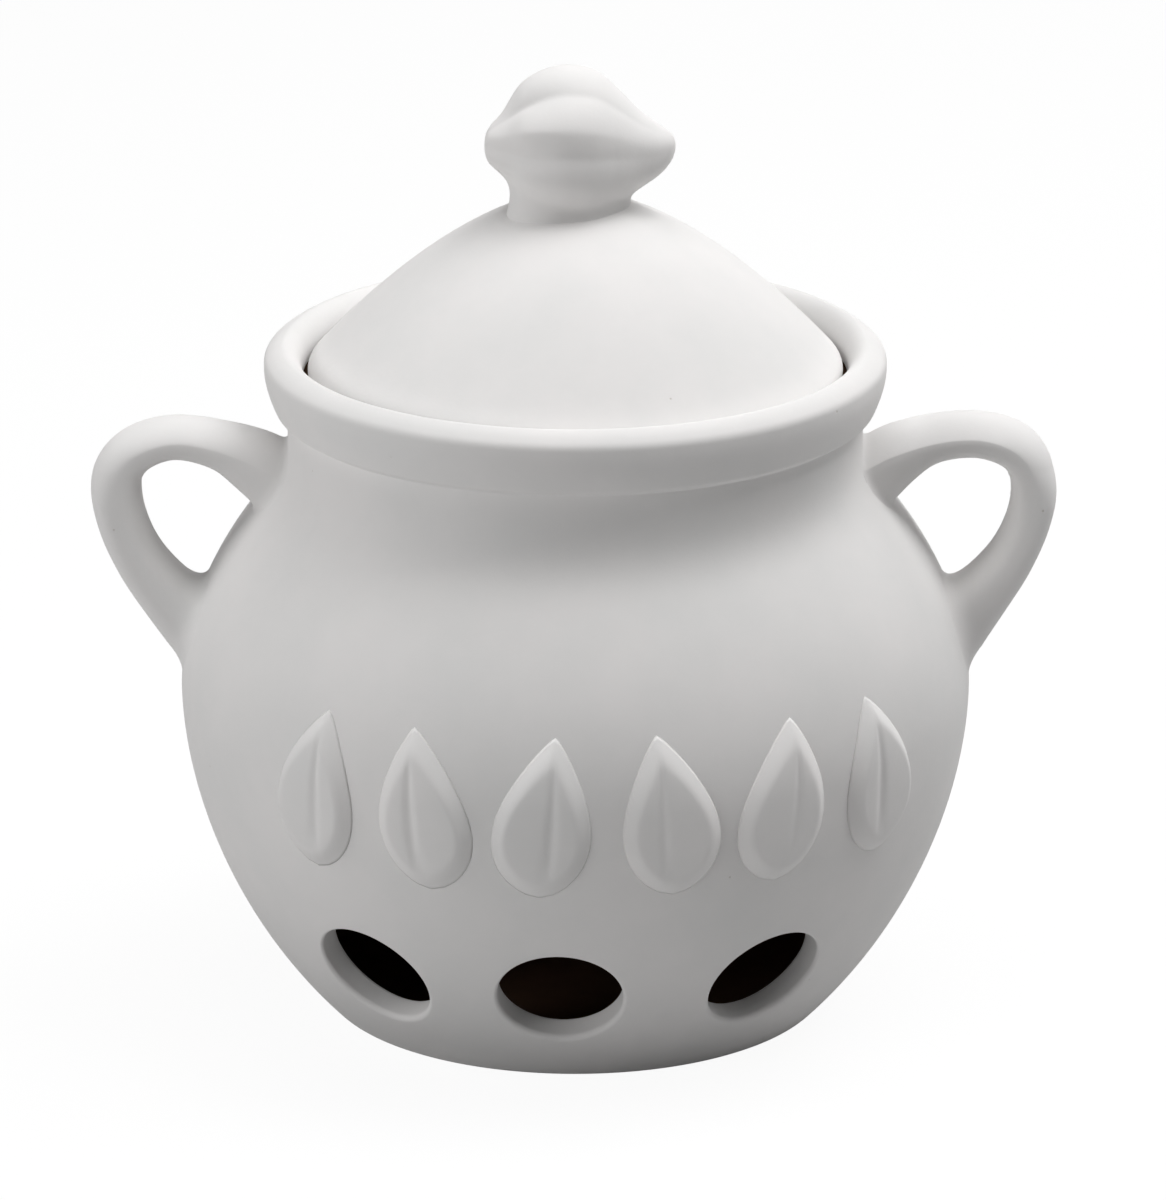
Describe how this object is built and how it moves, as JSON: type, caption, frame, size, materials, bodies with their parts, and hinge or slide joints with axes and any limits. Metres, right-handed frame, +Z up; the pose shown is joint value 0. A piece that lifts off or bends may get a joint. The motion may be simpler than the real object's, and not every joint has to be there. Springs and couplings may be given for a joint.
{
  "type": "garlic keeper",
  "caption": "Round lidded ceramic pot with low air vents, two strap handles, raised cloves on the belly and a garlic-bulb knob, for storing heads of garlic.",
  "frame": {"origin": "centre of the foot's underside, on the pot's axis", "axes": "+Z up along the pot's axis, +X from the left handle to the right one, -Y to the front with the raised cloves"},
  "size_m": [0.1648, 0.1364, 0.1647],
  "materials": {
    "bisque": "matt, unglazed, chalky white"
  },
  "bodies": {
    "pot": {"pot_body": "bisque", "handle_left": "bisque", "handle_right": "bisque", "relief_motifs": "bisque"},
    "lid": {"lid": "bisque", "knob": "bisque"}
  },
  "joints": [
    {"name": "lid_lift", "type": "slide", "parent": "pot", "child": "lid", "axis": [0, 0, 1], "range_m": [0, 0.09]}
  ]
}
